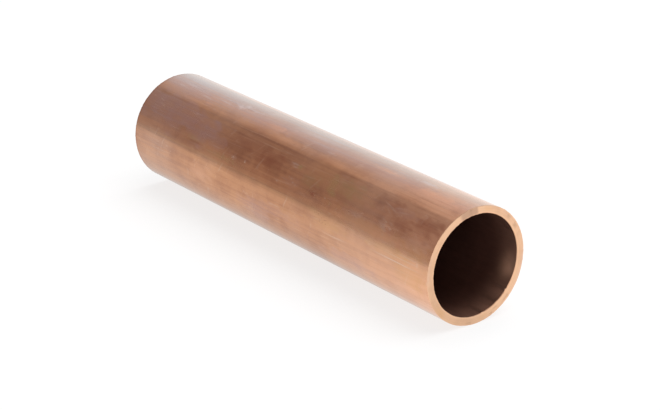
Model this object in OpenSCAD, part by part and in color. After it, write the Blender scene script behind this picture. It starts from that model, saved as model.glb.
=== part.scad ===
// A short length of hard drawn copper pipe, cut square at both ends and lying on its side.
// X runs along the pipe, Z is up, and the origin is under the middle of the pipe, on the floor.

/* [Pipe] */
// Outside diameter of the pipe
outer_d = 22; // [10:0.5:54]
// Thickness of the wall
wall = 1.5; // [0.8:0.1:3]
// Length from one cut end to the other
length = 92.5; // [40:0.5:300]

/* [Cut ends] */
// Width of the bevel where the mouth of the bore is deburred
deburr = 0.2; // [0.05:0.05:0.35]
// Radius of the rounding where the outer edge is broken
edge_r = 0.1; // [0.05:0.05:0.3]

/* [Hidden] */
$fn = 128;

outer_r = outer_d / 2;
bore_r = outer_r - wall;
// How far a cutting shape stands clear of the material that it takes off
clear = 0.5;

// The triangle that deburring takes off the mouth of the bore, at the end where y is 0
module deburr_cut() {
    reach = deburr + clear;
    polygon([
        [bore_r - clear, -clear],
        [bore_r + reach, -clear],
        [bore_r - clear, reach]
    ]);
}

// The corner that is taken off the outer edge, at the end where y is 0
module edge_cut() {
    difference() {
        translate([outer_r - edge_r, -clear])
            square([edge_r + clear, edge_r + clear]);
        translate([outer_r - edge_r, edge_r])
            circle(r = edge_r);
    }
}

// Both ends are finished alike
module at_both_ends() {
    children();
    translate([0, length])
        mirror([0, 1])
            children();
}

// The wall cut along the pipe: x is the distance from its axis, and y runs along it
module wall_section() {
    difference() {
        translate([bore_r, 0])
            square([wall, length]);
        at_both_ends() {
            deburr_cut();
            edge_cut();
        }
    }
}

// The pipe is its wall turned round its axis, and rests along its lowest line
module pipe() {
    color([0.78, 0.54, 0.42])
        translate([-length / 2, 0, outer_r])
            rotate([0, 90, 0])
                rotate_extrude()
                    wall_section();
}

pipe();
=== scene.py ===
"""A short length of drawn copper pipe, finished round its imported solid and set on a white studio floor."""

import math

import bpy
import numpy as np
from bpy.props import FloatProperty, FloatVectorProperty, IntProperty, PointerProperty
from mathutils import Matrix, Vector


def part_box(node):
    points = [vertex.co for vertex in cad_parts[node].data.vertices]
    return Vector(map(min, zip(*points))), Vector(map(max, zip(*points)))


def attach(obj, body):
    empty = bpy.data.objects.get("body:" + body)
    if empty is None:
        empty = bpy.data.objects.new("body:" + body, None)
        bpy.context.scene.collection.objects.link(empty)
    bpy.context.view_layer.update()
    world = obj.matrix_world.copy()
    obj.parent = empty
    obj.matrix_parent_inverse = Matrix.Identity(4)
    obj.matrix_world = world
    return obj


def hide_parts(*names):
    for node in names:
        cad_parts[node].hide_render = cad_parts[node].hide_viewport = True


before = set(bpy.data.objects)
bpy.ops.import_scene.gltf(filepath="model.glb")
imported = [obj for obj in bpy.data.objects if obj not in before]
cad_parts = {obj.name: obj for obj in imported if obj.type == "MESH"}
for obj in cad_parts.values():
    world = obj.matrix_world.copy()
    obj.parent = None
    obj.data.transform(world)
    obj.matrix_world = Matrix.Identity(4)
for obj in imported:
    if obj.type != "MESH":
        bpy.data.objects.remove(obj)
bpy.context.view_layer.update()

bl_info = {
    "name": "Copper pipe",
    "version": (1, 0, 0),
    "blender": (4, 5, 0),
    "location": "View3D > Sidebar > Copper pipe",
    "description": "Makes a cut length of drawn copper pipe with its marks, and the studio round it",
    "category": "Object",
}

MM = 0.001
PIECE = "pipe"
BAKE_MAP = "OFBake"
UNROLLED_MAP = "Unrolled"


# --- Sizes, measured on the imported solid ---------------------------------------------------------


class Section:
    """The pipe's radii, length and edge sizes, in metres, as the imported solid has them."""

    def __init__(self, node):
        low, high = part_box(node)
        places = np.array([v.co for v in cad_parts[node].data.vertices])
        self.axis_height = (low.z + high.z) / 2
        self.outer = (high.z - low.z) / 2
        self.half_length = (high.x - low.x) / 2
        radius = np.hypot(places[:, 1], places[:, 2] - self.axis_height)
        reach = np.abs(places[:, 0])
        self.bore = radius.min()
        hair = 0.001 * MM
        self.edge = self.half_length - reach[radius > radius.max() - hair].max()
        self.deburr = self.half_length - reach[radius < self.bore + hair].max()


# --- Settings that a user would change -----------------------------------------------------------


class PipeShape(bpy.types.PropertyGroup):
    """How finely the pipe is modelled, and how deep the marks in its surface are."""

    around: IntProperty(
        name="Points round the pipe", description="Points in each ring", default=336, min=96, max=512
    )
    wall_rings: IntProperty(
        name="Wall rings", description="Rings along the outside of the wall", default=226, min=24, max=400
    )
    bore_rings: IntProperty(
        name="Bore rings", description="Rings along the bore", default=20, min=8, max=200
    )
    face_rings: IntProperty(
        name="Face rings", description="Rings across each cut face", default=10, min=4, max=40
    )
    draw_ripple: FloatProperty(
        name="Draw ripple",
        description="Height of the long ripples that the drawing die leaves",
        default=0.0011 * MM,
        min=0,
        unit="LENGTH",
    )
    dent_depth: FloatProperty(
        name="Dent depth",
        description="Depth of the deepest handling dent",
        default=0.022 * MM,
        min=0,
        unit="LENGTH",
    )
    saw_mark: FloatProperty(
        name="Saw mark",
        description="Height of the concentric marks on the cut faces",
        default=0.006 * MM,
        min=0,
        unit="LENGTH",
    )
    bore_offset: FloatProperty(
        name="Bore offset",
        description="How far the bore's middle is above the pipe's",
        default=0.08 * MM,
        min=0,
        unit="LENGTH",
    )
    burr: FloatProperty(
        name="Burr",
        description="How far the edges of the cut wander",
        default=0.03 * MM,
        min=0,
        unit="LENGTH",
    )


def colour(name, description, default):
    return FloatVectorProperty(
        name=name, description=description, default=default, subtype="COLOR", size=3, min=0, max=1
    )


class PipeFinish(bpy.types.PropertyGroup):
    """Colours of the bare, tarnished and cut copper."""

    copper: colour("Copper", "Bare drawn copper", (0.85, 0.43, 0.235))
    clean: colour("Clean copper", "Bright copper where hands have kept it clean", (0.98, 0.53, 0.33))
    tarnish: colour("Tarnish", "Brown tarnish over the copper", (0.50, 0.22, 0.13))
    haze: colour("Haze", "Pale pinkish haze of dry fingermarks and dust", (0.74, 0.56, 0.49))
    dust: colour("Dust", "Pale dust and scuffs", (0.92, 0.74, 0.66))
    olive_stain: colour("Olive stain", "Yellowish stain in the tarnish", (0.72, 0.47, 0.22))
    golden_stain: colour("Golden stain", "Golden stain over the copper", (0.87, 0.465, 0.23))
    mauve_bloom: colour("Mauve bloom", "Dull mauve bloom over the copper", (0.74, 0.42, 0.345))
    red_stain: colour("Red stain", "Reddish stain in the tarnish", (0.52, 0.19, 0.11))
    scratch: colour("Scratch", "Fresh metal in a scratch", (1.0, 0.72, 0.56))
    cut: colour("Cut face", "Fresh metal of the cut faces", (0.92, 0.57, 0.36))
    # Partly painted highlight: fresh metal on the broken edges, made lighter than the cut face to stand in for the
    # light that the edges catch.
    fresh_edge_highlight: colour("Fresh edge", "Bright metal on the broken edges of the cut", (1.0, 0.60, 0.37))
    cut_stain: colour("Cut stain", "Brown stain on the cut faces", (0.55, 0.31, 0.19))
    golden_cut: colour("Golden cut", "Yellowish stain on the cut faces", (0.88, 0.52, 0.28))
    pink_cut: colour("Pink cut", "Pinkish bloom on the cut faces", (0.90, 0.58, 0.42))
    # Painted shade: a darker colour over one sector of the cut face, standing in for the dark sector of its brushed
    # reflection.
    painted_dark_sector: colour("Dull cut", "Part of the cut face that the saw smeared", (0.46, 0.28, 0.20))
    bore: colour("Bore", "Dark oxide in the bore", (0.17, 0.075, 0.055))
    # Painted light: a lighter colour near the bore's mouths, low on the back and in one spot, for the light that enters
    # the mouth and falls on the inner wall.
    bore_mouth_light: colour("Thin oxide", "Thinner oxide near the mouths of the bore", (0.70, 0.40, 0.27))


class Studio(bpy.types.PropertyGroup):
    """The camera, the floor and the light."""

    lens: FloatProperty(
        name="Lens", description="Focal length of the camera, in millimetres", default=117.66, min=20
    )
    camera_place: FloatVectorProperty(
        name="Camera place",
        description="Where the camera stands",
        default=(305.05 * MM, -227.8 * MM, 156.7 * MM),
        subtype="TRANSLATION",
        unit="LENGTH",
    )
    camera_aim: FloatVectorProperty(
        name="Camera aim",
        description="The point that the camera looks at",
        default=(27.91 * MM, -17.83 * MM, 20.83 * MM),
        subtype="TRANSLATION",
        unit="LENGTH",
    )
    floor_size: FloatProperty(
        name="Floor size", description="Width of the square floor", default=4.0, min=0.5, unit="LENGTH"
    )
    overhead_power: FloatProperty(
        name="Overhead power", description="Power of the softbox overhead, in watts", default=11.0, min=0
    )
    front_power: FloatProperty(
        name="Front power", description="Power of the softbox beside the camera, in watts", default=1.1, min=0
    )


# --- Marks on the wall ---------------------------------------------------------------------------
# Each is (millimetres from the far end, degrees round from the top towards the front, half its length along the
# pipe and half its width in millimetres, tilt in degrees, strength).

PALE_STREAKS = (
    (5.6, 44.6, 1.5, 0.13, 2, 0.45),
    (7.6, 42.2, 2.4, 0.07, 0, 0.30),
    (16.5, 40.0, 2.4, 0.09, 0, 0.40),
    (18.4, 41.4, 1.9, 0.07, 0, 0.35),
    (15.0, 37.6, 2.6, 0.06, 0, 0.25),
    (12.2, 61.6, 2.6, 0.10, 1, 0.30),
    (27.5, 61.2, 3.6, 0.10, 0, 0.45),
    (20.5, 62.8, 2.2, 0.07, 0, 0.25),
    (34.0, 35.4, 2.4, 0.08, 0, 0.30),
    (41.5, 37.2, 5.0, 0.07, 0, 0.50),
    (46.5, 35.8, 3.2, 0.06, 0, 0.40),
    (50.2, 43.0, 2.4, 0.10, 2, 0.50),
    (50.6, 46.0, 1.2, 0.22, -6, 0.60),
    (52.4, 41.2, 1.6, 0.06, 0, 0.35),
    (70.0, 77.2, 4.6, 0.06, 0, 0.30),
    (66.5, 92.6, 4.4, 0.14, -1, 0.70),
    (76.0, 79.6, 6.0, 0.05, 0, 0.25),
    (83.6, 86.4, 9.2, 0.14, 0, 1.00),
    (85.5, 81.6, 6.8, 0.12, 0, 0.55),
    (87.0, 78.0, 5.0, 0.12, 0, 0.50),
    (80.0, 89.4, 5.2, 0.04, 0, 0.30),
    (86.5, 93.5, 5.5, 0.05, 0, 0.30),
    (86.0, 13.2, 5.5, 0.10, 0, 0.35),
    (83.0, 17.4, 7.0, 0.07, 0, 0.30),
    (88.5, 9.0, 3.6, 0.12, 0, 0.35),
    (57.0, 20.6, 6.0, 0.06, 0, 0.20),
    (30.0, 22.6, 5.0, 0.06, 0, 0.20),
)
DARK_STREAKS = (
    (84.0, 20.6, 8.0, 0.14, 0, 0.50),
    (87.0, 15.2, 5.0, 0.12, 0, 0.45),
    (80.0, 25.0, 7.0, 0.16, 0, 0.40),
    (42.0, 32.2, 15.0, 0.45, 0, 0.80),
    (44.0, 35.0, 15.0, 1.10, 0, 0.40),
    (36.0, 35.0, 6.0, 0.16, 0, 0.50),
    (33.0, 38.6, 4.0, 0.20, 0, 0.60),
    (47.0, 39.4, 4.5, 0.14, 0, 0.40),
    (20.0, 66.0, 3.6, 0.34, 0, 0.60),
    (8.0, 38.2, 4.5, 0.12, 0, 0.35),
    (10.0, 32.0, 8.0, 0.20, 0, 0.35),
    (64.0, 31.0, 7.0, 0.24, 0, 0.60),
    (86.0, 31.0, 6.0, 0.24, 0, 0.40),
    (88.0, 34.5, 4.0, 0.14, 0, 0.35),
    (40.0, 74.5, 14.0, 0.20, 0, 0.35),
    (48.0, 86.0, 9.0, 0.18, 0, 0.25),
    (20.0, 92.0, 8.0, 0.20, 0, 0.20),
    (27.0, 7.0, 1.6, 0.13, 0, 0.60),
    (0.1, 60.0, 0.50, 40.0, 0, 0.90),
)
STROKES = (
    (51.2, 58.2, 1.0, 0.10, 62, 0.50),
    (51.9, 60.0, 1.2, 0.12, 60, 0.55),
    (52.7, 61.2, 0.9, 0.10, 64, 0.45),
    (50.4, 57.4, 0.8, 0.10, 60, 0.35),
    (36.9, 62.6, 0.5, 0.14, 82, 0.80),
    (85.3, 38.5, 1.1, 0.12, 84, 0.45),
    (86.6, 41.0, 1.2, 0.12, 86, 0.40),
    (89.6, 80.5, 0.7, 0.16, 88, 0.60),
    (77.6, 41.0, 2.6, 0.10, 12, 0.60),
    (79.0, 43.6, 2.2, 0.10, 10, 0.60),
    (80.3, 39.6, 2.0, 0.09, -14, 0.55),
    (81.6, 42.4, 2.4, 0.10, -12, 0.60),
    (78.2, 46.2, 1.5, 0.09, 30, 0.45),
    (80.9, 46.6, 1.4, 0.09, -32, 0.45),
    (4.6, 40.4, 1.2, 0.22, 10, 0.45),
    (6.0, 45.8, 1.1, 0.20, 8, 0.40),
    (17.2, 38.4, 1.8, 0.16, -4, 0.45),
    (19.4, 43.0, 1.2, 0.14, 5, 0.35),
)
SPECKS = (
    (47.5, 65.8, 0.11, 0.10, 0, 0.9),
    (61.7, 60.8, 0.15, 0.12, 0, 1.0),
    (75.1, 47.6, 0.10, 0.09, 0, 0.9),
    (80.6, 60.4, 0.12, 0.10, 0, 0.9),
    (74.2, 85.2, 0.20, 0.16, 0, 0.6),
    (78.9, 56.2, 0.10, 0.12, 0, 0.8),
    (33.1, 63.4, 0.30, 0.18, 0, 0.5),
    (69.2, 64.0, 0.15, 0.12, 0, 0.6),
)
OLIVE_STAINS = (
    (62.2, 47.0, 1.9, 2.9, -14, 0.70),
    (51.8, 44.0, 0.9, 0.65, 0, 0.85),
    (66.5, 44.0, 5.0, 2.4, 0, 0.50),
    (20.0, 63.0, 4.0, 1.0, 0, 0.55),
    (29.0, 68.0, 7.0, 0.9, 0, 0.40),
    (56.0, 52.0, 3.0, 2.0, 0, 0.30),
)
RED_STAINS = (
    (58.2, 62.6, 0.85, 0.50, 18, 0.90),
    (42.5, 51.0, 5.5, 2.8, 0, 0.45),
    (36.0, 45.0, 6.0, 2.0, 0, 0.30),
    (88.6, 46.0, 4.2, 2.4, 0, 0.55),
    (83.0, 52.0, 4.0, 1.6, 0, 0.45),
    (79.0, 38.0, 4.0, 1.2, 0, 0.35),
    (80.5, 64.0, 2.0, 0.8, 0, 0.35),
)
GOLDEN_STAINS = (
    (64.5, 84.0, 7.0, 1.8, -4, 0.60),
    (82.0, 80.0, 9.0, 1.6, 0, 0.75),
    (88.0, 95.0, 7.0, 3.6, 0, 0.60),
    (76.0, 68.0, 14.0, 1.8, 0, 0.60),
    (89.0, 70.0, 4.0, 2.2, 0, 0.50),
    (60.5, 77.5, 3.0, 1.3, 10, 0.60),
    (60.0, 45.0, 6.0, 2.6, 0, 0.40),
    (70.0, 46.0, 4.5, 2.8, 0, 0.50),
    (52.0, 92.0, 5.0, 1.6, 0, 0.25),
)
DARK_STAINS = (
    (45.0, 52.0, 5.0, 2.6, 0, 0.50),
    (40.0, 44.0, 10.0, 1.6, 0, 0.35),
    (36.0, 61.0, 4.0, 1.4, 0, 0.45),
    (75.4, 41.0, 2.4, 2.2, 0, 0.45),
    (77.0, 52.0, 2.2, 2.0, 10, 0.30),
    (59.0, 62.0, 3.5, 1.2, 0, 0.35),
    (90.0, 40.0, 3.0, 1.2, 0, 0.45),
    (14.0, 69.0, 11.0, 0.8, 0, 0.45),
    (52.0, 18.0, 6.0, 1.4, 0, 0.45),
    (66.0, 23.0, 5.0, 0.8, 0, 0.35),
    (91.0, 18.0, 2.0, 1.6, 0, 0.45),
    (6.0, 86.0, 9.0, 2.6, 0, 0.40),
    (24.0, 22.0, 4.0, 0.7, 0, 0.35),
    (79.0, 28.0, 5.0, 0.6, 0, 0.35),
)
MAUVE_BLOOMS = (
    (9.0, 46.0, 13.0, 4.2, 0, 0.85),
    (20.0, 50.0, 8.0, 3.4, 8, 0.75),
    (26.5, 57.0, 4.0, 1.8, 0, 0.45),
    (41.0, 106.0, 6.0, 2.6, 8, 0.35),
    (51.5, 61.0, 3.0, 1.2, 0, 0.25),
    (82.0, 42.0, 4.0, 1.2, 0, 0.30),
    (47.0, 96.0, 8.0, 1.6, 0, 0.25),
    (34.0, 17.0, 10.0, 1.6, 0, 0.40),
    (9.0, 18.0, 10.0, 2.8, 0, 0.50),
    (70.0, 112.0, 9.0, 2.2, 0, 0.35),
)
CLEAN_PATCHES = (
    (84.5, 12.0, 7.0, 2.0, 0, 1.00),
    (88.0, 3.0, 5.0, 1.0, 0, 0.50),
    (86.0, 22.0, 6.0, 0.8, 0, 0.70),
    (38.0, 15.0, 4.0, 1.2, 0, 0.60),
    (43.0, 24.0, 6.0, 0.7, 0, 0.50),
    (70.0, 6.0, 6.0, 0.8, 0, 0.60),
    (60.0, 25.0, 5.0, 0.5, 0, 0.40),
    (23.0, 95.0, 5.0, 2.6, 0, 0.60),
    (55.0, 98.0, 8.0, 3.0, 0, 0.30),
    (12.0, 26.0, 6.0, 0.6, 0, 0.35),
    (17.0, 22.0, 2.5, 0.5, 0, 0.50),
)
# Where the surface is scuffed dull, so that it takes in light from all round.
DULL_PATCHES = (
    (77.0, 68.0, 17.0, 2.4, 0, 1.00),
    (89.5, 62.0, 5.0, 3.2, 0, 0.80),
    (58.0, 67.0, 5.0, 1.4, 0, 0.80),
    (34.0, 68.0, 7.0, 1.0, 0, 0.40),
    (62.0, 46.0, 4.0, 3.0, 0, 0.40),
    (72.0, 44.0, 3.0, 2.6, 0, 0.30),
    (12.0, 52.0, 12.0, 3.6, 0, 0.30),
)
PALE_CLOUDS = (
    (24.2, 8.0, 1.8, 0.8, 12, 0.85),
    (25.6, 3.0, 1.4, 0.9, 30, 0.60),
    (28.5, 5.5, 3.5, 0.45, -5, 0.50),
    (20.0, 11.0, 3.5, 0.4, 6, 0.40),
    (14.5, 15.5, 2.6, 0.35, 4, 0.45),
    (7.5, 8.0, 3.0, 0.5, 0, 0.40),
    (5.0, 14.0, 2.2, 0.3, 0, 0.35),
    (11.0, 3.0, 4.0, 0.4, 0, 0.35),
    (33.2, 63.2, 1.1, 0.5, 0, 0.30),
    (50.0, 43.6, 1.3, 0.5, -8, 0.32),
    (78.6, 60.2, 1.8, 1.4, 20, 0.30),
    (71.0, 62.0, 3.0, 0.9, 0, 0.15),
    (88.0, 64.0, 4.5, 1.8, 0, 0.15),
    (79.0, -2.0, 4.0, 0.8, 0, 0.45),
    (55.0, 16.0, 1.6, 0.5, 0, 0.25),
    (47.0, 2.0, 7.0, 0.6, 0, 0.35),
)
# Where the surface is pebbled with tiny pits, besides the pits that are scattered all round.
PITTED = (
    (33.4, 63.0, 2.0, 0.9, 0, 1.0),
    (37.0, 62.4, 1.0, 0.9, 0, 1.0),
    (58.4, 62.4, 1.8, 0.9, 0, 1.0),
    (70.8, 62.0, 4.2, 1.2, 0, 1.0),
    (78.8, 60.4, 2.2, 1.7, 0, 1.0),
    (83.0, 62.0, 2.0, 1.4, 0, 0.8),
    (26.0, 7.5, 3.0, 0.9, 0, 0.6),
    (88.0, 66.0, 3.4, 1.8, 0, 0.6),
)

# Marks on the near cut face: the same, with the distance from the axis in millimetres in place of the place along.
# The dull sector is painted shade: its darker colour stands in for the dark sector of the brushed face's reflection.
DARK_SECTOR_CUT = ((10.2, 9.5, 3.0, 2.35, 0, 1.0),)
BROWN_CUT = (
    (10.3, -58, 0.7, 0.9, 20, 0.7),
    (10.4, -44, 0.5, 0.8, 0, 0.5),
    (10.5, -138, 0.35, 1.7, 0, 0.6),
    (10.2, -153, 0.3, 0.9, 0, 0.5),
    (10.6, -160, 0.2, 0.8, 0, 0.6),
    (10.1, 60, 0.2, 1.6, 0, 0.3),
    (10.6, 172, 0.3, 1.2, 0, 0.35),
)
GOLDEN_CUT = (
    (10.3, 130, 0.9, 2.3, 0, 0.8),
    (10.3, -14, 0.6, 1.6, 0, 0.6),
    (10.1, -170, 0.5, 2.0, 0, 0.35),
)
PINK_CUT = (
    (10.7, 80, 0.35, 5.0, 0, 0.7),
    (10.7, -105, 0.30, 6.0, 0, 0.8),
    (10.6, -40, 0.30, 2.0, 0, 0.4),
)

# Chips of torn metal in the mouths of the bore: degrees round from the top towards the front, height in millimetres.
CHIPS = ((-170, 0.16), (-132, 0.2), (-149, 0.07), (84, 0.06), (-60, 0.07))

# Each kind of mark: its rows, how soft its edge is, and how far the edge wanders.
WALL_MARKS = {
    "pale_streaks": (PALE_STREAKS + STROKES, 0.9, 0.1),
    "dark_streaks": (DARK_STREAKS, 0.8, 0.2),
    "specks": (SPECKS, 0.6, 0.0),
    "olive_stains": (OLIVE_STAINS, 0.8, 0.5),
    "red_stains": (RED_STAINS, 0.8, 0.5),
    "golden_stains": (GOLDEN_STAINS, 0.8, 0.4),
    "dark_stains": (DARK_STAINS, 0.8, 0.5),
    "mauve_blooms": (MAUVE_BLOOMS, 0.5, 0.4),
    "dull_patches": (DULL_PATCHES, 0.8, 0.4),
    "clean_patches": (CLEAN_PATCHES, 0.9, 0.4),
    "pale_clouds": (PALE_CLOUDS, 0.9, 0.6),
    "pitted": (PITTED, 0.8, 0.5),
}
CUT_MARKS = {
    "painted_dark_sector": (DARK_SECTOR_CUT, 0.25, 0.16),
    "brown_cut": (BROWN_CUT, 0.9, 0.5),
    "golden_cut": (GOLDEN_CUT, 0.9, 0.4),
    "pink_cut": (PINK_CUT, 0.9, 0.4),
}
THINNEST = 0.13


WAVES = [(float(size), float(turn), float(start)) for size, turn, start in np.random.default_rng(5).uniform(
    (0.6, 0, 0), (3.6, 2 * math.pi, 2 * math.pi), (14, 3)
)]


def wander(x, y, step):
    """An uneven pattern between about -1 and 1, whose broadest waves are step long across and twice that along."""
    total = 0
    for size, turn, start in WAVES:
        k = size * 2 * math.pi / step
        total = total + np.sin(k * (0.5 * x * math.cos(turn) + y * math.sin(turn)) + start) / (0.6 + size)
    return total / 2.2


def smooth_step(value, low, high):
    share = np.clip((value - low) / (high - low), 0, 1)
    return share * share * (3 - 2 * share)


def painted(marks, across, angle, outer):
    """How strongly the marks show at the points (across in millimetres, angle), from 0 to 1."""
    rows, softness, ragged = marks
    across, angle = np.broadcast_arrays(across, angle)
    total = np.zeros(across.shape)
    for at, turn, half_length, half_width, tilt, strength in rows:
        width = max(half_width, THINNEST)
        strength *= math.sqrt(half_width / width)
        off_x = across - at
        off_y = ((angle - math.radians(turn) + math.pi) % (2 * math.pi) - math.pi) * outer / MM
        tilt = math.radians(tilt)
        u = (off_x * math.cos(tilt) + off_y * math.sin(tilt)) / half_length
        v = (off_y * math.cos(tilt) - off_x * math.sin(tilt)) / width
        reach = np.hypot(u, v)
        near = reach < 3
        reach[near] *= 1 + ragged * wander(off_x[near], off_y[near], 1.6 * width)
        total = np.maximum(total, strength * (1 - smooth_step(reach, 1 - softness, 1)))
    return total


# --- Shape of the pipe ---------------------------------------------------------------------------

WALL, CUT, BORE = range(3)
EDGE_STEPS = 4


def spaced(start, end, count):
    """count numbers from start towards end, without end itself."""
    return start + (end - start) * np.arange(count) / count


def spread(count, dense_from, dense_to, density):
    """count angles from underneath round to underneath, closer together between the two given angles."""
    turn = np.linspace(-math.pi, math.pi, 1441)
    weight = 1 + (density - 1) * smooth_step(turn, dense_from - 0.2, dense_from) * (
        1 - smooth_step(turn, dense_to, dense_to + 0.2)
    )
    steps = np.concatenate([[0], np.cumsum((weight[1:] + weight[:-1]) / 2)])
    return np.interp(np.arange(count) / count * steps[-1], steps, turn)


def profile(size, shape):
    """The wall's section as one closed loop: its points (x, radius), and its runs (name, first, count, material).

    It starts at the far end of the outer wall, and goes along the wall, over the near cut, back through the bore
    and over the far cut.
    """
    end, outer, bore = size.half_length, size.outer, size.bore
    edge, deburr = size.edge, size.deburr
    wall, face = shape.wall_rings, shape.face_rings
    turn = spaced(0, math.pi / 2, EDGE_STEPS)
    # The deburred mouth is a quarter of an ellipse, so that part of it catches the light on every side.
    parts = [
        ("wall", WALL, spaced(edge - end, end - edge, wall), np.full(wall, outer)),
        ("near_edge", CUT, end - edge + edge * np.sin(turn), outer - edge + edge * np.cos(turn)),
        ("near_face", CUT, np.full(face, end), spaced(outer - edge, bore + deburr, face)),
        ("near_mouth", CUT, end - deburr + deburr * np.cos(turn), bore + deburr - deburr * np.sin(turn)),
        ("bore", BORE, spaced(end - deburr, deburr - end, shape.bore_rings), np.full(shape.bore_rings, bore)),
        ("far_mouth", CUT, deburr - end - deburr * np.sin(turn), bore + deburr - deburr * np.cos(turn)),
        ("far_face", CUT, np.full(face, -end), spaced(bore + deburr, outer - edge, face)),
        ("far_edge", CUT, edge - end - edge * np.cos(turn), outer - edge + edge * np.sin(turn)),
    ]
    runs, at = [], 0
    for name, material, x, r in parts:
        runs.append((name, at, len(x), material))
        at += len(x)
    return np.concatenate([p[2] for p in parts]), np.concatenate([p[3] for p in parts]), runs


def ripples(rng, count, turns, waves, x, angle):
    """A sum of count random waves of height about 1, with turns waves round the pipe and waves radians a metre."""
    total = np.zeros(np.broadcast(x, angle).shape)
    for _ in range(count):
        n = rng.integers(*turns)
        along = rng.uniform(-waves, waves)
        total += np.cos(n * angle + along * x + rng.uniform(0, 2 * math.pi))
    return total / math.sqrt(count / 2)


def dents(rng, size, depth, x, angle):
    """Shallow round dips: some of any size all round, and fine ones where the wall is pebbled. All go inwards."""
    spots = [
        (rng.uniform(-1, 1) * size.half_length, rng.uniform(-math.pi, math.pi), rng.uniform(0.35, 1.1) * MM)
        for _ in range(150)
    ]
    for at, turn, half_length, half_width, _, _ in PITTED:
        for _ in range(int(14 * half_length * half_width)):
            along = (at + rng.normal(0, 0.5) * half_length) * MM - size.half_length
            around = math.radians(turn) + rng.normal(0, 0.5) * half_width * MM / size.outer
            spots.append((along, around, rng.uniform(0.22, 0.38) * MM))
    total = np.zeros(np.broadcast(x, angle).shape)
    for at_x, at_angle, reach in spots:
        rows = np.abs(x[:, 0] - at_x) < 1.6 * reach
        around = (angle - at_angle + math.pi) % (2 * math.pi) - math.pi
        off = np.hypot(x[rows] - at_x, around * size.outer) / reach
        deep = depth * rng.uniform(0.3, 1) * reach / MM
        total[rows] -= deep * np.exp(-2.5 * off**2)
    return total


def relief(size, shape, x, r, runs, angle):
    """How far each point is moved outwards and along X from the plain section, in metres."""
    rng = np.random.default_rng(22)
    out = np.zeros((len(x), len(angle)))
    along = np.zeros_like(out)
    for name, first, count, _ in runs:
        rows = slice(first, first + count)
        run_x, run_r = x[rows, None], r[rows, None]
        if name == "wall":
            fine = ripples(rng, 26, (24, 110), 60, run_x, angle)
            broad = ripples(rng, 12, (4, 16), 90, run_x, angle)
            out[rows] = shape.draw_ripple * (0.6 * fine + 2.2 * broad)
            out[rows] += dents(rng, size, shape.dent_depth, run_x, angle)
        elif name == "bore":
            out[rows] = shape.draw_ripple * ripples(rng, 20, (12, 60), 60, run_x, angle)
        else:
            side = 1 if name.startswith("near") else -1
            rings = rng.uniform(-1, 1, (count, 1)) * (0.6 + 0.4 * ripples(rng, 6, (1, 9), 0, 0, angle))
            if name.endswith("face"):
                along[rows] = side * shape.saw_mark * (rings - 1)
            else:
                uneven = ripples(rng, 30, (30, 130), 0, 0, angle) + ripples(rng, 12, (3, 20), 0, 0, angle)
                out[rows] = shape.burr * 0.35 * uneven
                if name.endswith("mouth"):
                    # Torn metal hangs in the mouth at the top, and in a few chips lower down.
                    torn = np.exp(-((angle - math.radians(10)) / 0.7) ** 2) * ripples(rng, 30, (50, 150), 0, 0, angle)
                    out[rows] -= shape.burr * 0.8 * np.abs(torn)
                    for turn, height in CHIPS:
                        off = (angle - math.radians(turn) + math.pi) % (2 * math.pi) - math.pi
                        out[rows] -= height * MM * np.exp(-((off / 0.022) ** 2))
    return out, along


def edge_lines(mesh, runs, around):
    """Marks the ring where the wall ends and the one where the far edge begins as sharp."""
    first = {name: at for name, at, _, _ in runs}
    pairs = np.array([e.vertices[:] for e in mesh.edges]) // around
    marks = np.zeros(len(pairs), bool)
    for name in ("near_edge", "wall"):
        marks |= (pairs == first[name]).all(1)
    mesh.attributes.new("sharp_edge", "BOOLEAN", "EDGE").data.foreach_set("value", marks)


# The share of the bake's map that each kind of run takes, from bottom to top.
MAP_SHARES = {"wall": 0.66, "bore": 0.12, "face": 0.05, "edge": 0.018, "mouth": 0.018}
MAP_GAP, MAP_EDGE = 0.0045, 0.003


def lay_out_maps(mesh, size, x, runs, angle):
    """Lays the bake's map out in full-width strips, one to each run, and the unrolled map in real metres."""
    around = len(angle)
    turn = np.append(angle, math.pi)
    column = np.arange(around)
    bake = np.zeros((len(x) * around, 4, 2))
    unrolled = np.zeros_like(bake)
    low = MAP_GAP
    for name, first, count, _ in runs:
        kind = name.split("_")[-1]
        lengthwise = kind in ("wall", "bore")
        for row in range(count):
            here = (first + row) * around + column
            for corner, (down, over) in enumerate(((0, 0), (0, 1), (1, 1), (1, 0))):
                along = np.full(around, (row + down) / count)
                about = (turn[column + over] + math.pi) / (2 * math.pi)
                u, v = (along, about) if lengthwise else (about, along)
                bake[here, corner, 0] = MAP_EDGE + (1 - 2 * MAP_EDGE) * u
                bake[here, corner, 1] = low + MAP_SHARES[kind] * v
                unrolled[here, corner, 0] = x[(first + row + down) % len(x)] + size.half_length
                unrolled[here, corner, 1] = turn[column + over] * size.outer
        low += MAP_SHARES[kind] + MAP_GAP
    for name, values in ((BAKE_MAP, bake), (UNROLLED_MAP, unrolled)):
        mesh.uv_layers.new(name=name).data.foreach_set("uv", values.ravel())
    mesh.uv_layers.active = mesh.uv_layers[BAKE_MAP]


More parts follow.
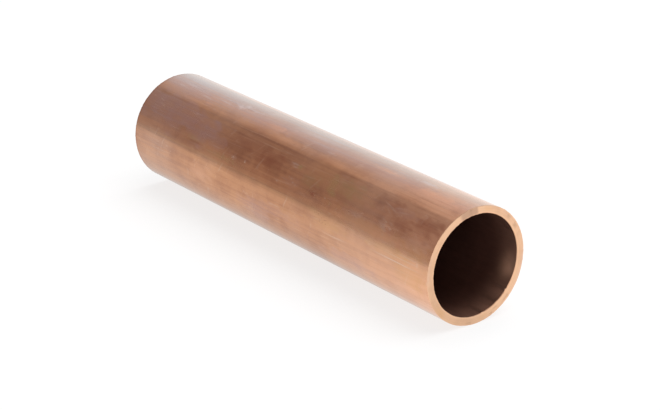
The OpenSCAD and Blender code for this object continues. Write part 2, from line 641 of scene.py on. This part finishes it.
def pipe_mesh(size, shape):
    """The pipe as one closed mesh: rings of points along its section, each moved by its relief."""
    x, r, runs = profile(size, shape)
    around = shape.around
    # The first point of each ring is underneath, so that no map has its seam in sight.
    angle = spread(around, math.radians(24), math.radians(98), 2.0)
    out, along = relief(size, shape, x, r, runs, angle)
    radius = r[:, None] + out
    points = np.empty((len(x), around, 3))
    points[:, :, 0] = x[:, None] + along
    points[:, :, 1] = -radius * np.sin(angle)
    # The bore sits a little high, so that the wall is thickest underneath.
    inward = np.clip((size.outer - size.edge - r) / (size.outer - size.edge - size.bore - size.deburr), 0, 1)
    points[:, :, 2] = radius * np.cos(angle) + size.axis_height + shape.bore_offset * inward[:, None]
    row, column = np.meshgrid(np.arange(len(x)), np.arange(around), indexing="ij")
    below, beside = (row + 1) % len(x), (column + 1) % around
    corners = [row * around + column, row * around + beside, below * around + beside, below * around + column]
    faces = np.stack(corners, -1).reshape(-1, 4)
    mesh = bpy.data.meshes.new(PIECE)
    mesh.from_pydata(points.reshape(-1, 3), [], faces)
    material = np.repeat(np.concatenate([np.full(count, kind) for _, _, count, kind in runs]), around)
    mesh.polygons.foreach_set("material_index", material.astype(np.int32))
    mesh.polygons.foreach_set("use_smooth", np.ones(len(faces), bool))
    on_wall, on_cut, edges = (np.zeros((len(x), 1)) for _ in range(3))
    for name, first, count, _ in runs:
        kind = name.split("_")[-1]
        on_wall[first : first + count] = kind == "wall"
        on_cut[first : first + count] = name in ("near_edge", "near_face", "near_mouth")
        edges[first : first + count] = kind in ("mouth", "edge")
    paint = {kind: on_wall * painted(rows, (x[:, None] + size.half_length) / MM, angle, size.outer) for kind, rows in WALL_MARKS.items()}
    paint.update((kind, on_cut * painted(rows, r[:, None] / MM, angle, size.outer)) for kind, rows in CUT_MARKS.items())
    paint["broken_edge"] = edges * np.ones(around)
    for kind, values in paint.items():
        mesh.attributes.new(kind, "FLOAT", "POINT").data.foreach_set("value", values.ravel().astype(np.float32))
    lay_out_maps(mesh, size, x, runs, angle)
    edge_lines(mesh, runs, around)
    mesh.update()
    if mesh.validate():
        raise RuntimeError("the pipe's mesh has faults")
    return mesh


# --- Shader nodes --------------------------------------------------------------------------------


class Sheet:
    """Adds nodes to a node tree and wires them up."""

    def __init__(self, tree):
        self.tree = tree

    def node(self, kind, inputs=(), **settings):
        made = self.tree.nodes.new(kind)
        for name, value in settings.items():
            setattr(made, name, value)
        for key, value in dict(inputs).items():
            self.feed(made.inputs[key], value)
        return made

    def feed(self, socket, value):
        if isinstance(value, bpy.types.NodeSocket):
            self.tree.links.new(value, socket)
        else:
            socket.default_value = value

    def math(self, operation, *values, clamp=False):
        made = self.node("ShaderNodeMath", enumerate(values), operation=operation, use_clamp=clamp)
        return made.outputs[0]

    def vector(self, operation, *values, output="Vector"):
        return self.node("ShaderNodeVectorMath", enumerate(values), operation=operation).outputs[output]

    def ramp(self, value, low, high, start=0.0, end=1.0):
        """A smooth step from start to end as value goes from low to high."""
        inputs = {"Value": value, "From Min": low, "From Max": high, "To Min": start, "To Max": end}
        return self.node("ShaderNodeMapRange", inputs, interpolation_type="SMOOTHSTEP").outputs["Result"]

    def mix(self, share, first, second):
        """The first colour, changed to the second by share."""
        inputs = {0: share, 6: rgba(first), 7: rgba(second)}
        return self.node("ShaderNodeMix", inputs, data_type="RGBA").outputs[2]

    def group(self, name, output, **inputs):
        made = self.node("ShaderNodeGroup", node_tree=bpy.data.node_groups[name])
        for key, value in inputs.items():
            self.feed(made.inputs[key.replace("_", " ").capitalize()], value)
        return made.outputs[output]


def rgba(value):
    """A colour with its alpha, or a socket as it is."""
    return value if isinstance(value, bpy.types.NodeSocket) else (*value[:3], 1.0)


FLOAT, VECTOR = "NodeSocketFloat", "NodeSocketVector"


def new_group(name, inputs, outputs):
    """A shader node group with these sockets: its sheet, its input sockets by name and its output node."""
    tree = bpy.data.node_groups.new(name, "ShaderNodeTree")
    for key, (kind, value) in inputs.items():
        socket = tree.interface.new_socket(name=key, in_out="INPUT", socket_type=kind)
        socket.default_value = value
    for key in outputs:
        tree.interface.new_socket(name=key, in_out="OUTPUT", socket_type=FLOAT)
    sheet = Sheet(tree)
    given = sheet.node("NodeGroupInput").outputs
    return sheet, given, sheet.node("NodeGroupOutput").inputs


def streaks_group():
    """Long marks of the drawing die: noise drawn out along the pipe, as a mask."""
    sheet, given, result = new_group(
        "Streaks",
        {
            "Place": (VECTOR, (0, 0, 0)),
            "Scale": (FLOAT, 1000.0),
            "Stretch": (FLOAT, 30.0),
            "Low": (FLOAT, 0.45),
            "High": (FLOAT, 0.6),
        },
        ["Mask"],
    )
    shrink = sheet.math("DIVIDE", 1.0, given["Stretch"])
    squeeze = sheet.node("ShaderNodeCombineXYZ", {0: shrink, 1: 1.0, 2: 1.0}).outputs[0]
    place = sheet.vector("MULTIPLY", given["Place"], squeeze)
    noise = sheet.node(
        "ShaderNodeTexNoise", {"Vector": place, "Scale": given["Scale"], "Detail": 3.0, "Roughness": 0.6}
    )
    sheet.feed(result["Mask"], sheet.ramp(noise.outputs[0], given["Low"], given["High"]))


def blotches_group():
    """Cloudy patches with wandering edges, as a mask."""
    sheet, given, result = new_group(
        "Blotches",
        {
            "Place": (VECTOR, (0, 0, 0)),
            "Scale": (FLOAT, 100.0),
            "Seed": (FLOAT, 0.0),
            "Low": (FLOAT, 0.4),
            "High": (FLOAT, 0.6),
        },
        ["Mask"],
    )
    noise = sheet.node(
        "ShaderNodeTexNoise",
        {"Vector": given["Place"], "W": given["Seed"], "Scale": given["Scale"], "Detail": 5.0, "Distortion": 0.4},
        noise_dimensions="4D",
    )
    sheet.feed(result["Mask"], sheet.ramp(noise.outputs[0], given["Low"], given["High"]))


def scratches_group():
    """Thin broken scratches in one direction on the unrolled surface, as a mask."""
    sheet, given, result = new_group(
        "Scratches",
        {
            "Place": (VECTOR, (0, 0, 0)),
            "Tilt": (FLOAT, 0.0),
            "Spacing": (FLOAT, 0.001),
            "Length": (FLOAT, 0.02),
            "Width": (FLOAT, 0.02),
            "Seed": (FLOAT, 0.0),
        },
        ["Mask"],
    )
    turned = sheet.node(
        "ShaderNodeVectorRotate", {"Vector": given["Place"], "Angle": given["Tilt"]}, rotation_type="Z_AXIS"
    ).outputs[0]
    size = sheet.node("ShaderNodeCombineXYZ", {0: given["Length"], 1: given["Spacing"], 2: 1.0}).outputs[0]
    scaled = sheet.vector("DIVIDE", turned, size)
    shifted = sheet.vector("ADD", scaled, sheet.node("ShaderNodeCombineXYZ", {2: given["Seed"]}).outputs[0])
    lines = sheet.node("ShaderNodeTexNoise", {"Vector": shifted, "Scale": 1.0, "Detail": 1.0}).outputs[0]
    near_line = sheet.math("ABSOLUTE", sheet.math("SUBTRACT", lines, 0.5))
    amount = sheet.ramp(near_line, 0.0, given["Width"], 1.0, 0.0)
    breaks = sheet.node("ShaderNodeTexNoise", {"Vector": shifted, "Scale": 2.7, "Detail": 0.0}).outputs[0]
    sheet.feed(result["Mask"], sheet.math("MULTIPLY", amount, sheet.ramp(breaks, 0.5, 0.62)))


def pits_group():
    """Small round pits, of which Chance says how many there are, as a mask that is 1 at a pit's middle."""
    sheet, given, result = new_group(
        "Pits",
        {
            "Place": (VECTOR, (0, 0, 0)),
            "Spacing": (FLOAT, 0.0006),
            "Size": (FLOAT, 0.4),
            "Chance": (FLOAT, 0.3),
        },
        ["Mask"],
    )
    cells = sheet.node(
        "ShaderNodeTexVoronoi", {"Vector": given["Place"], "Scale": sheet.math("DIVIDE", 1.0, given["Spacing"])}
    )
    luck = sheet.node("ShaderNodeSeparateColor", {0: cells.outputs["Color"]}).outputs[0]
    dip = sheet.ramp(cells.outputs["Distance"], 0.0, given["Size"], 1.0, 0.0)
    sheet.feed(result["Mask"], sheet.math("MULTIPLY", dip, sheet.math("LESS_THAN", luck, given["Chance"])))


def turned_rings_group():
    """Fine concentric lines round the pipe's axis, as a value from 0 to 1."""
    sheet, given, result = new_group(
        "Turned rings",
        {"Place": (VECTOR, (0, 0, 0)), "Axis height": (FLOAT, 0.011), "Spacing": (FLOAT, 0.0001)},
        ["Value"],
    )
    apart = sheet.node("ShaderNodeSeparateXYZ", {0: given["Place"]}).outputs
    above = sheet.math("SUBTRACT", apart[2], given["Axis height"])
    radius = sheet.math("SQRT", sheet.math("ADD", sheet.math("MULTIPLY", above, above), sheet.math("MULTIPLY", apart[1], apart[1])))
    wobble = sheet.node("ShaderNodeTexNoise", {"Vector": given["Place"], "Scale": 120.0, "Detail": 2.0}).outputs[0]
    place = sheet.math("ADD", sheet.math("DIVIDE", radius, given["Spacing"]), sheet.math("MULTIPLY", wobble, 1.5))
    lines = sheet.node("ShaderNodeTexNoise", {"W": place, "Scale": 1.0, "Detail": 2.0}, noise_dimensions="1D")
    sheet.feed(result["Value"], lines.outputs[0])


# --- Materials -----------------------------------------------------------------------------------


def new_material(name):
    """A material with one Principled shader: its sheet and the shader."""
    material = bpy.data.materials.new(name)
    material.use_nodes = True
    tree = material.node_tree
    shader = next(n for n in tree.nodes if n.type == "BSDF_PRINCIPLED")
    return material, Sheet(tree), shader


def places(sheet):
    """The coordinates that the marks are placed by: the object's own, and the unrolled surface's."""
    return (
        sheet.node("ShaderNodeTexCoord").outputs["Object"],
        sheet.node("ShaderNodeUVMap", uv_map=UNROLLED_MAP).outputs[0],
    )


def marks(sheet, kind):
    """The marks of one kind that are painted on the wall's mesh."""
    return sheet.node("ShaderNodeAttribute", attribute_name=kind).outputs["Fac"]


def drawn_wall(finish, size):
    """The outside of the wall: drawn copper with die streaks, brown tarnish, pale haze, scratches and pits."""
    material, sheet, shader = new_material("drawn_copper")
    place, flat = places(sheet)
    apart = sheet.node("ShaderNodeSeparateXYZ", {0: place}).outputs
    # Handling keeps the near end brighter, the far end is hazier, and dust has settled on top, most of it behind.
    handled = sheet.ramp(apart[0], 0.2 * size.half_length, 1.0 * size.half_length)
    hazy_end = sheet.ramp(apart[0], -1.0 * size.half_length, -0.3 * size.half_length, 1.0, 0.0)
    upward = sheet.math("MULTIPLY", sheet.math("SUBTRACT", apart[2], size.axis_height), 0.94 / size.outer)
    upward = sheet.math("MULTIPLY_ADD", apart[1], 0.34 / size.outer, upward)
    dusty_top = sheet.ramp(upward, 0.64, 0.95)

    broad = sheet.group("Blotches", "Mask", place=place, scale=75.0, seed=1.0, low=0.40, high=0.62)
    small = sheet.group("Blotches", "Mask", place=place, scale=300.0, seed=2.0, low=0.42, high=0.62)
    streaks = sheet.group("Streaks", "Mask", place=place, scale=1300.0, stretch=35.0, low=0.42, high=0.62)
    fine = sheet.group("Streaks", "Mask", place=place, scale=4200.0, stretch=60.0, low=0.40, high=0.64)
    scuffs = sheet.math(
        "MAXIMUM",
        sheet.group("Scratches", "Mask", place=flat, tilt=0.02, spacing=0.7 * MM, length=16 * MM, width=0.02, seed=1.0),
        sheet.group("Scratches", "Mask", place=flat, tilt=1.1, spacing=1.6 * MM, length=9 * MM, width=0.012, seed=5.0),
    )

    brown = sheet.math("MULTIPLY_ADD", broad, 0.28, 0.0)
    brown = sheet.math("MULTIPLY_ADD", small, 0.20, brown)
    brown = sheet.math("MULTIPLY_ADD", streaks, 0.22, brown)
    brown = sheet.math("MULTIPLY", brown, sheet.math("MULTIPLY_ADD", handled, -0.5, 1.0))
    uneven = sheet.math("MULTIPLY_ADD", small, 0.35, sheet.math("MULTIPLY_ADD", streaks, 0.3, 0.6))

    def stain(kind, below, shade):
        return sheet.mix(sheet.math("MULTIPLY", marks(sheet, kind), uneven, clamp=True), below, shade)

    base = sheet.mix(brown, sheet.mix(handled, finish.copper, finish.clean), finish.tarnish)
    base = stain("golden_stains", base, finish.golden_stain)
    base = stain("dark_stains", base, finish.tarnish)
    base = stain("red_stains", base, finish.red_stain)
    base = stain("olive_stains", base, finish.olive_stain)
    blooms = sheet.math("MULTIPLY", marks(sheet, "mauve_blooms"), uneven, clamp=True)
    base = sheet.mix(blooms, base, finish.mauve_bloom)

    cloud = sheet.group("Blotches", "Mask", place=place, scale=55.0, seed=4.0, low=0.45, high=0.72)
    hazed = sheet.math("MULTIPLY_ADD", hazy_end, 0.22, sheet.math("MULTIPLY", cloud, 0.18))
    settled = sheet.math("MULTIPLY", dusty_top, sheet.math("MULTIPLY_ADD", handled, -0.42, 0.66))
    hazed = sheet.math("ADD", hazed, settled)
    patchy = sheet.math("MULTIPLY_ADD", fine, 0.3, sheet.math("MULTIPLY_ADD", streaks, 0.25, 0.65))
    hazed = sheet.math("MULTIPLY", hazed, patchy, clamp=True)
    base = sheet.mix(hazed, base, finish.haze)
    dusty = sheet.math("MULTIPLY", marks(sheet, "pale_clouds"), sheet.math("MULTIPLY_ADD", fine, 0.4, 0.7), clamp=True)
    base = sheet.mix(dusty, base, finish.dust)
    base = stain("clean_patches", base, finish.clean)
    dark = marks(sheet, "dark_streaks")
    base = sheet.mix(sheet.math("MULTIPLY", dark, 0.8), base, finish.tarnish)

    scored = sheet.math("MAXIMUM", marks(sheet, "pale_streaks"), sheet.math("MULTIPLY", scuffs, 0.22))
    bright = sheet.math("MAXIMUM", scored, marks(sheet, "specks"))
    base = sheet.mix(sheet.math("MULTIPLY", bright, 0.85), base, finish.scratch)

    pitted = sheet.math(
        "MAXIMUM",
        marks(sheet, "pitted"),
        sheet.group("Blotches", "Mask", place=place, scale=95.0, seed=6.0, low=0.60, high=0.72),
    )
    pits = sheet.group("Pits", "Mask", place=place, spacing=0.5 * MM, size=0.42, chance=0.5)
    pits = sheet.math("MULTIPLY", pits, pitted)
    base = sheet.mix(sheet.math("MULTIPLY", pits, 0.5), base, finish.tarnish)
    # Pale raised specks in the pitted patches: small bumps whose pale colour is also a painted glint, for the light
    # that the pebbled surface catches.
    glinting_crumbs = sheet.group("Pits", "Mask", place=sheet.vector("ADD", place, (3 * MM, 5 * MM, 2 * MM)), spacing=0.46 * MM, size=0.36, chance=0.3)
    glinting_crumbs = sheet.math("MULTIPLY", glinting_crumbs, marks(sheet, "pitted"))
    base = sheet.mix(sheet.math("MULTIPLY", glinting_crumbs, 0.8), base, finish.scratch)

    sheet.feed(shader.inputs["Base Color"], base)
    sheet.feed(shader.inputs["Metallic"], 1.0)
    rough = sheet.math("MULTIPLY_ADD", hazed, 0.10, 0.10)
    rough = sheet.math("MULTIPLY_ADD", blooms, 0.08, rough)
    rough = sheet.math("MULTIPLY_ADD", marks(sheet, "dull_patches"), 0.40, rough)
    rough = sheet.math("MULTIPLY_ADD", streaks, 0.04, rough)
    rough = sheet.math("MULTIPLY_ADD", sheet.math("MAXIMUM", bright, glinting_crumbs), 0.20, rough)
    sheet.feed(shader.inputs["Roughness"], rough)

    height = sheet.math("MULTIPLY_ADD", fine, 0.05, sheet.math("MULTIPLY", streaks, 0.22))
    height = sheet.math("MULTIPLY_ADD", scored, -0.5, height)
    height = sheet.math("MULTIPLY_ADD", pits, -5.0, height)
    height = sheet.math("MULTIPLY_ADD", glinting_crumbs, 3.5, height)
    bump = sheet.node("ShaderNodeBump", {"Strength": 1.0, "Distance": 0.008 * MM, "Height": height})
    sheet.feed(shader.inputs["Normal"], bump.outputs[0])
    return material


def cut_copper(finish, size):
    """The cut faces and their broken edges: fresh metal with concentric lines, small stains, a dull patch whose darker
    colour is painted shade for the dark sector of the brushed face's reflection, and broken edges lightened partly as a
    painted highlight.
    """
    material, sheet, shader = new_material("cut_copper")
    place, flat = places(sheet)
    rings = sheet.group("Turned rings", "Value", place=place, axis_height=size.axis_height, spacing=0.09 * MM)
    bands = sheet.group("Turned rings", "Value", place=place, axis_height=size.axis_height, spacing=0.35 * MM)
    clouds = sheet.group("Blotches", "Mask", place=place, scale=420.0, seed=7.0, low=0.4, high=0.65)
    stained = sheet.math("MULTIPLY_ADD", sheet.ramp(bands, 0.4, 0.65), 0.10, sheet.math("MULTIPLY", clouds, 0.16))
    stained = sheet.math("ADD", stained, sheet.math("MULTIPLY", marks(sheet, "brown_cut"), 0.7), clamp=True)
    base = sheet.mix(marks(sheet, "golden_cut"), finish.cut, finish.golden_cut)
    base = sheet.mix(marks(sheet, "pink_cut"), base, finish.pink_cut)
    base = sheet.mix(stained, base, finish.cut_stain)
    # Painted shade: the dull sector is darker in colour for the dark part of the brushed face's reflection; the same
    # mask also makes it rougher.
    dull = sheet.math("MULTIPLY", marks(sheet, "painted_dark_sector"), sheet.math("MULTIPLY_ADD", clouds, 0.3, 0.7))
    base = sheet.mix(sheet.math("MULTIPLY", dull, 0.85), base, finish.painted_dark_sector)
    # The broken edges are fresh metal, lightened partly as a painted highlight for the light that they catch.
    broken = sheet.node("ShaderNodeAttribute", attribute_name="broken_edge").outputs["Fac"]
    fade = sheet.group("Blotches", "Mask", place=place, scale=260.0, seed=11.0, low=0.35, high=0.6)
    broken = sheet.math("MULTIPLY", broken, sheet.math("MULTIPLY_ADD", fade, 0.6, 0.4))
    base = sheet.mix(sheet.math("MULTIPLY", broken, 0.75), base, finish.fresh_edge_highlight)
    sheet.feed(shader.inputs["Base Color"], base)
    sheet.feed(shader.inputs["Metallic"], 1.0)
    rough = sheet.math("MULTIPLY_ADD", clouds, 0.08, 0.30)
    sheet.feed(shader.inputs["Roughness"], sheet.math("MULTIPLY_ADD", dull, 0.15, rough))
    bump = sheet.node("ShaderNodeBump", {"Strength": 1.0, "Distance": 0.008 * MM, "Height": rings})
    sheet.feed(shader.inputs["Normal"], bump.outputs[0])
    return material


def dark_bore(finish, size):
    """The bore: dull brown oxide with faint draw lines, painted lighter near its mouths as painted light that falls in
    from them.
    """
    material, sheet, shader = new_material("oxidised_bore")
    place, flat = places(sheet)
    apart = sheet.node("ShaderNodeSeparateXYZ", {0: place}).outputs
    clouds = sheet.group("Blotches", "Mask", place=place, scale=160.0, seed=9.0, low=0.35, high=0.7)
    streaks = sheet.group("Streaks", "Mask", place=place, scale=1500.0, stretch=30.0, low=0.4, high=0.62)
    darker = sheet.math("MULTIPLY_ADD", streaks, 0.15, sheet.math("MULTIPLY", clouds, 0.35))
    deep = tuple(0.45 * c for c in finish.bore)
    base = sheet.mix(darker, finish.bore, deep)
    # Painted light: near its mouths the bore is painted lighter, most of all low down on the back and in one spot,
    # where light from the mouth falls on the inner wall.
    from_mouth = sheet.math("SUBTRACT", size.half_length, sheet.math("ABSOLUTE", apart[0]))
    mouth = sheet.ramp(from_mouth, 0.0, 7.0 * MM, 1.0, 0.0)
    swept = sheet.ramp(sheet.math("MULTIPLY_ADD", apart[2], -0.8, apart[1]), -11.0 * MM, 2.0 * MM)
    spot = sheet.node("ShaderNodeCombineXYZ", {0: from_mouth, 1: apart[1], 2: apart[2]}).outputs[0]
    away = sheet.vector("DISTANCE", spot, (2.2 * MM, 9.1 * MM, 8.2 * MM), output="Value")
    fade = sheet.math("MULTIPLY_ADD", sheet.ramp(away, 0.3 * MM, 3.4 * MM, 1.0, 0.0), 0.9, 0.35)
    amount = sheet.math("MULTIPLY", sheet.math("MULTIPLY", mouth, swept), sheet.math("MULTIPLY_ADD", clouds, -0.35, 1.0))
    amount = sheet.math("MULTIPLY", amount, fade, clamp=True)
    base = sheet.mix(amount, base, finish.bore_mouth_light)
    sheet.feed(shader.inputs["Base Color"], base)
    sheet.feed(shader.inputs["Metallic"], 0.6)
    sheet.feed(shader.inputs["Roughness"], sheet.math("MULTIPLY_ADD", clouds, 0.1, 0.40))
    bump = sheet.node("ShaderNodeBump", {"Strength": 1.0, "Distance": 0.004 * MM, "Height": streaks})
    sheet.feed(shader.inputs["Normal"], bump.outputs[0])
    return material


# --- Studio --------------------------------------------------------------------------------------

# Brightness of the room, by the angle in degrees from straight up round to the front, where -Y is the front.
ROOM = (
    (-180, 0.95, 0.98, 1.00),
    (-110, 0.96, 0.99, 1.00),
    (-90, 0.90, 0.98, 1.00),
    (-73, 0.81, 0.92, 0.99),
    (-55, 0.71, 0.75, 0.81),
    (-35, 0.65, 0.62, 0.65),
    (-17, 0.57, 0.54, 0.54),
    (-2, 0.52, 0.48, 0.47),
    (2, 0.38, 0.35, 0.35),
    (30, 0.35, 0.305, 0.30),
    (58, 0.34, 0.29, 0.28),
    (76, 0.40, 0.345, 0.33),
    (89, 0.44, 0.40, 0.39),
    (120, 0.60, 0.60, 0.60),
    (180, 0.80, 0.80, 0.80),
)


def paint_room():
    """The world: a white room behind the pipe and a darker one in front, and plain white for the camera."""
    world = bpy.data.worlds.new("studio")
    world.use_nodes = True
    bpy.context.scene.world = world
    sheet = Sheet(world.node_tree)
    background = next(n for n in world.node_tree.nodes if n.type == "BACKGROUND")
    way = sheet.node("ShaderNodeTexCoord").outputs["Generated"]
    apart = sheet.node("ShaderNodeSeparateXYZ", {0: way}).outputs
    front = sheet.math("MULTIPLY", apart[1], -1.0)
    angle = sheet.math("ARCTAN2", front, apart[2])
    share = sheet.math("MULTIPLY_ADD", angle, 0.5 / math.pi, 0.5)
    ramp = sheet.node("ShaderNodeValToRGB", {0: share})
    stops = ramp.color_ramp.elements
    while len(stops) < len(ROOM):
        stops.new(0.5)
    for stop, (degrees, *shade) in zip(stops, ROOM):
        stop.position = degrees / 360 + 0.5
        stop.color = rgba(shade)
    seen = sheet.node("ShaderNodeLightPath").outputs["Is Camera Ray"]
    sheet.feed(background.inputs["Color"], sheet.mix(seen, ramp.outputs[0], (1, 1, 1)))
    sheet.feed(background.inputs["Strength"], 1.0)


def floor_material():
    """A white floor that keeps a soft shadow near the pipe, and shows in the metal as a sheet lit from the right."""
    material, sheet, shader = new_material("studio_floor")
    tree = material.node_tree
    sheet.feed(shader.inputs["Base Color"], (0.95, 0.95, 0.95, 1))
    sheet.feed(shader.inputs["Roughness"], 1.0)
    sheet.feed(shader.inputs["Specular IOR Level"], 0.0)
    place = sheet.node("ShaderNodeNewGeometry").outputs["Position"]
    apart = sheet.node("ShaderNodeSeparateXYZ", {0: place}).outputs
    # The sheet's light falls off towards the front, and is strongest under the near end and behind.
    front = sheet.ramp(apart[1], -0.20, -0.015, 0.46, 0.74)
    behind = sheet.ramp(apart[1], -0.006, 0.008, 0.0, 0.26)
    right = sheet.ramp(apart[0], 0.0, 0.07, 0.0, 0.22)
    reflected = sheet.math("ADD", front, sheet.math("MAXIMUM", behind, right), clamp=True)
    # Painted shadow: the floor, as the metal shows it, is darker next to the pipe's contact line.
    contact_shadow = sheet.ramp(sheet.math("ABSOLUTE", apart[1]), 0.003, 0.014, 0.90, 1.0)
    reflected = sheet.math("MULTIPLY", reflected, contact_shadow)
    paths = sheet.node("ShaderNodeLightPath").outputs
    glow = sheet.mix(paths["Is Camera Ray"], reflected, (1.0, 1.0, 1.0))
    emission = sheet.node("ShaderNodeEmission", {"Color": glow, "Strength": 1.0})
    clear = sheet.ramp(sheet.vector("LENGTH", place, output="Value"), 0.12, 0.35, 0.78, 1.0)
    shown = sheet.math("MAXIMUM", sheet.math("MULTIPLY", paths["Is Camera Ray"], clear), paths["Is Glossy Ray"])
    shown = sheet.math("MAXIMUM", shown, paths["Is Transmission Ray"])
    both = sheet.node("ShaderNodeMixShader", {0: shown, 1: shader.outputs[0], 2: emission.outputs[0]})
    output = next(n for n in tree.nodes if n.type == "OUTPUT_MATERIAL")
    tree.links.new(both.outputs[0], output.inputs["Surface"])
    return material


def add_object(name, data):
    made = bpy.data.objects.new(name, data)
    bpy.context.scene.collection.objects.link(made)
    return made


def add_floor(studio):
    """The floor, a square plate whose top is at the pipe's underside."""
    half = studio.floor_size / 2
    mesh = bpy.data.meshes.new("floor")
    mesh.from_pydata([(-half, -half, 0), (half, -half, 0), (half, half, 0), (-half, half, 0)], [], [(0, 1, 2, 3)])
    mesh.materials.append(floor_material())
    floor = add_object("floor", mesh)


def add_softbox(name, place, width, power, mirrored):
    """A square lamp at place that faces the pipe. mirrored says whether the metal shows it."""
    lamp = bpy.data.lights.new(name, "AREA")
    lamp.shape = "SQUARE"
    lamp.size = width
    lamp.energy = power
    holder = add_object(name, lamp)
    holder.location = place
    holder.rotation_euler = (-Vector(place)).to_track_quat("-Z", "Y").to_euler()
    holder.visible_glossy = mirrored
    holder.visible_camera = False


def add_camera(studio):
    """The camera, level, where the photograph was taken from."""
    camera = bpy.data.cameras.new("camera")
    camera.lens = studio.lens
    camera.sensor_width = 36.0
    camera.clip_start, camera.clip_end = 0.01, 20.0
    holder = add_object("camera", camera)
    place, aim = Vector(studio.camera_place), Vector(studio.camera_aim)
    holder.location = place
    holder.rotation_euler = (aim - place).to_track_quat("-Z", "Y").to_euler()
    bpy.context.scene.camera = holder


# --- Operators and panel -------------------------------------------------------------------------


class COPPERPIPE_OT_pipe(bpy.types.Operator):
    """Makes the pipe, with its wall, bore and cut faces, in place of its plain solid"""

    bl_idname = "copperpipe.pipe"
    bl_label = "Make the pipe"

    def execute(self, context):
        settings = context.scene.copper_pipe
        size = Section(PIECE)
        if not size.bore < size.outer:
            raise RuntimeError("the packed pipe has no wall")
        for build in (streaks_group, blotches_group, scratches_group, pits_group, turned_rings_group):
            build()
        mesh = pipe_mesh(size, settings.shape)
        for make in (drawn_wall, cut_copper, dark_bore):
            mesh.materials.append(make(settings.finish, size))
        pipe = add_object("copper_pipe", mesh)
        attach(pipe, "root")
        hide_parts(PIECE)
        return {"FINISHED"}


class COPPERPIPE_OT_studio(bpy.types.Operator):
    """Makes the white floor, the room, the lamp and the camera"""

    bl_idname = "copperpipe.studio"
    bl_label = "Make the studio"

    def execute(self, context):
        studio = context.scene.copper_pipe.studio
        paint_room()
        add_floor(studio)
        add_softbox("overhead_softbox", (0.1, 0.25, 1.0), 1.2, studio.overhead_power, mirrored=False)
        add_softbox("front_softbox", (0.668, -0.507, 0.328), 0.55, studio.front_power, mirrored=True)
        add_camera(studio)
        context.scene.view_settings.view_transform = "Standard"
        return {"FINISHED"}


class COPPERPIPE_PT_panel(bpy.types.Panel):
    """Lists the steps that make the pipe and its studio"""

    bl_idname = "COPPERPIPE_PT_panel"
    bl_label = "Copper pipe"
    bl_space_type = "VIEW_3D"
    bl_region_type = "UI"
    bl_category = "Copper pipe"

    def draw(self, context):
        settings = context.scene.copper_pipe
        for part, step in ((settings.shape, "pipe"), (settings.finish, None), (settings.studio, "studio")):
            box = self.layout.box()
            for name in part.__annotations__:
                box.prop(part, name)
            if step:
                box.operator(f"copperpipe.{step}")


class PipeSettings(bpy.types.PropertyGroup):
    """All the settings of the pipe and its studio."""

    shape: PointerProperty(type=PipeShape)
    finish: PointerProperty(type=PipeFinish)
    studio: PointerProperty(type=Studio)


CLASSES = (PipeShape, PipeFinish, Studio, PipeSettings, COPPERPIPE_OT_pipe, COPPERPIPE_OT_studio, COPPERPIPE_PT_panel)


def register():
    for kind in CLASSES:
        bpy.utils.register_class(kind)
    bpy.types.Scene.copper_pipe = PointerProperty(type=PipeSettings)


def unregister():
    del bpy.types.Scene.copper_pipe
    for kind in reversed(CLASSES):
        bpy.utils.unregister_class(kind)


def main():
    """Makes the pipe and the studio."""
    register()
    bpy.ops.copperpipe.pipe()
    bpy.ops.copperpipe.studio()


if __name__ == "__main__":
    main()
